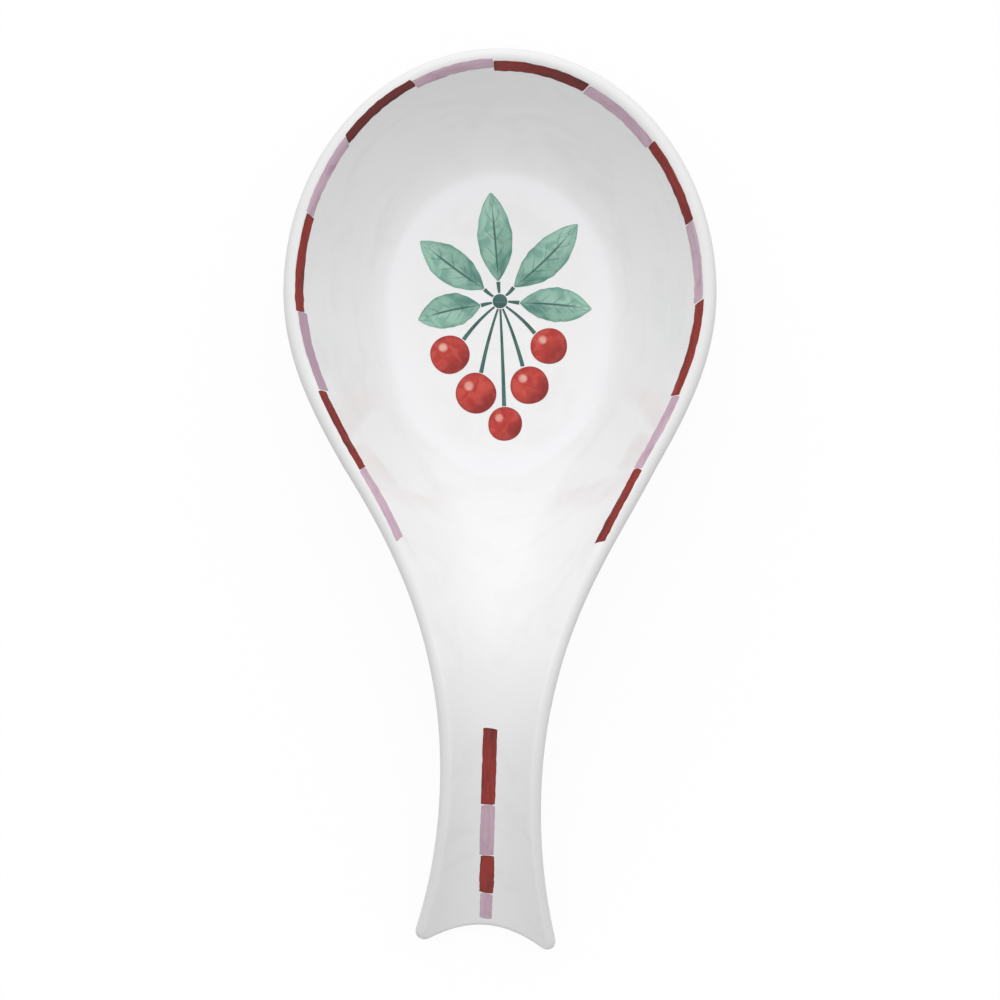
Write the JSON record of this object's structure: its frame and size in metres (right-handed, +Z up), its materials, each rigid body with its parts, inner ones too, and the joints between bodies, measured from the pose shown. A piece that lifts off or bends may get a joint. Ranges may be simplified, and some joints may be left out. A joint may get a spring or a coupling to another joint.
{
  "type": "spoon rest",
  "caption": "Glazed ceramic spoon rest: a deep oval bowl narrows into an arched, trough-shaped handle with a scooped end, trimmed with enamel dashes.",
  "frame": {"origin": "on the table, under the middle of the part's length and width", "axes": "+Z up from the table, +Y along the length from the handle's end to the bowl's far end, +X to the right when the bowl is seen beyond the handle"},
  "size_m": [0.1194, 0.2505, 0.0343],
  "materials": {
    "glaze": "glossy white glaze",
    "enamel_red": "glossy fired enamel",
    "enamel_lilac": "glossy fired enamel",
    "enamel_leaf": "glossy fired enamel",
    "enamel_stalk": "glossy fired enamel",
    "enamel_berry": "glossy fired enamel"
  },
  "bodies": {
    "root": {"ceramic_body": "glaze", "rim_dash_right_1": "enamel_red", "rim_dash_right_2": "enamel_lilac", "rim_dash_right_3": "enamel_red", "rim_dash_right_4": "enamel_lilac", "rim_dash_right_5": "enamel_red", "rim_dash_right_6": "enamel_lilac", "rim_dash_right_7": "enamel_red", "rim_dash_left_1": "enamel_lilac", "rim_dash_left_2": "enamel_red", "rim_dash_left_3": "enamel_lilac", "rim_dash_left_4": "enamel_red", "rim_dash_left_5": "enamel_lilac", "rim_dash_left_6": "enamel_red", "rim_dash_left_7": "enamel_lilac", "handle_dash_1": "enamel_red", "handle_dash_2": "enamel_lilac", "handle_dash_3": "enamel_red", "handle_dash_4": "enamel_lilac", "motif_leaf_1": "enamel_leaf", "motif_leaf_2": "enamel_leaf", "motif_leaf_3": "enamel_leaf", "motif_leaf_4": "enamel_leaf", "motif_leaf_5": "enamel_leaf", "motif_berry_1": "enamel_berry", "motif_berry_2": "enamel_berry", "motif_berry_3": "enamel_berry", "motif_berry_4": "enamel_berry", "motif_berry_5": "enamel_berry", "motif_stalk": "enamel_stalk"}
  },
  "joints": []
}
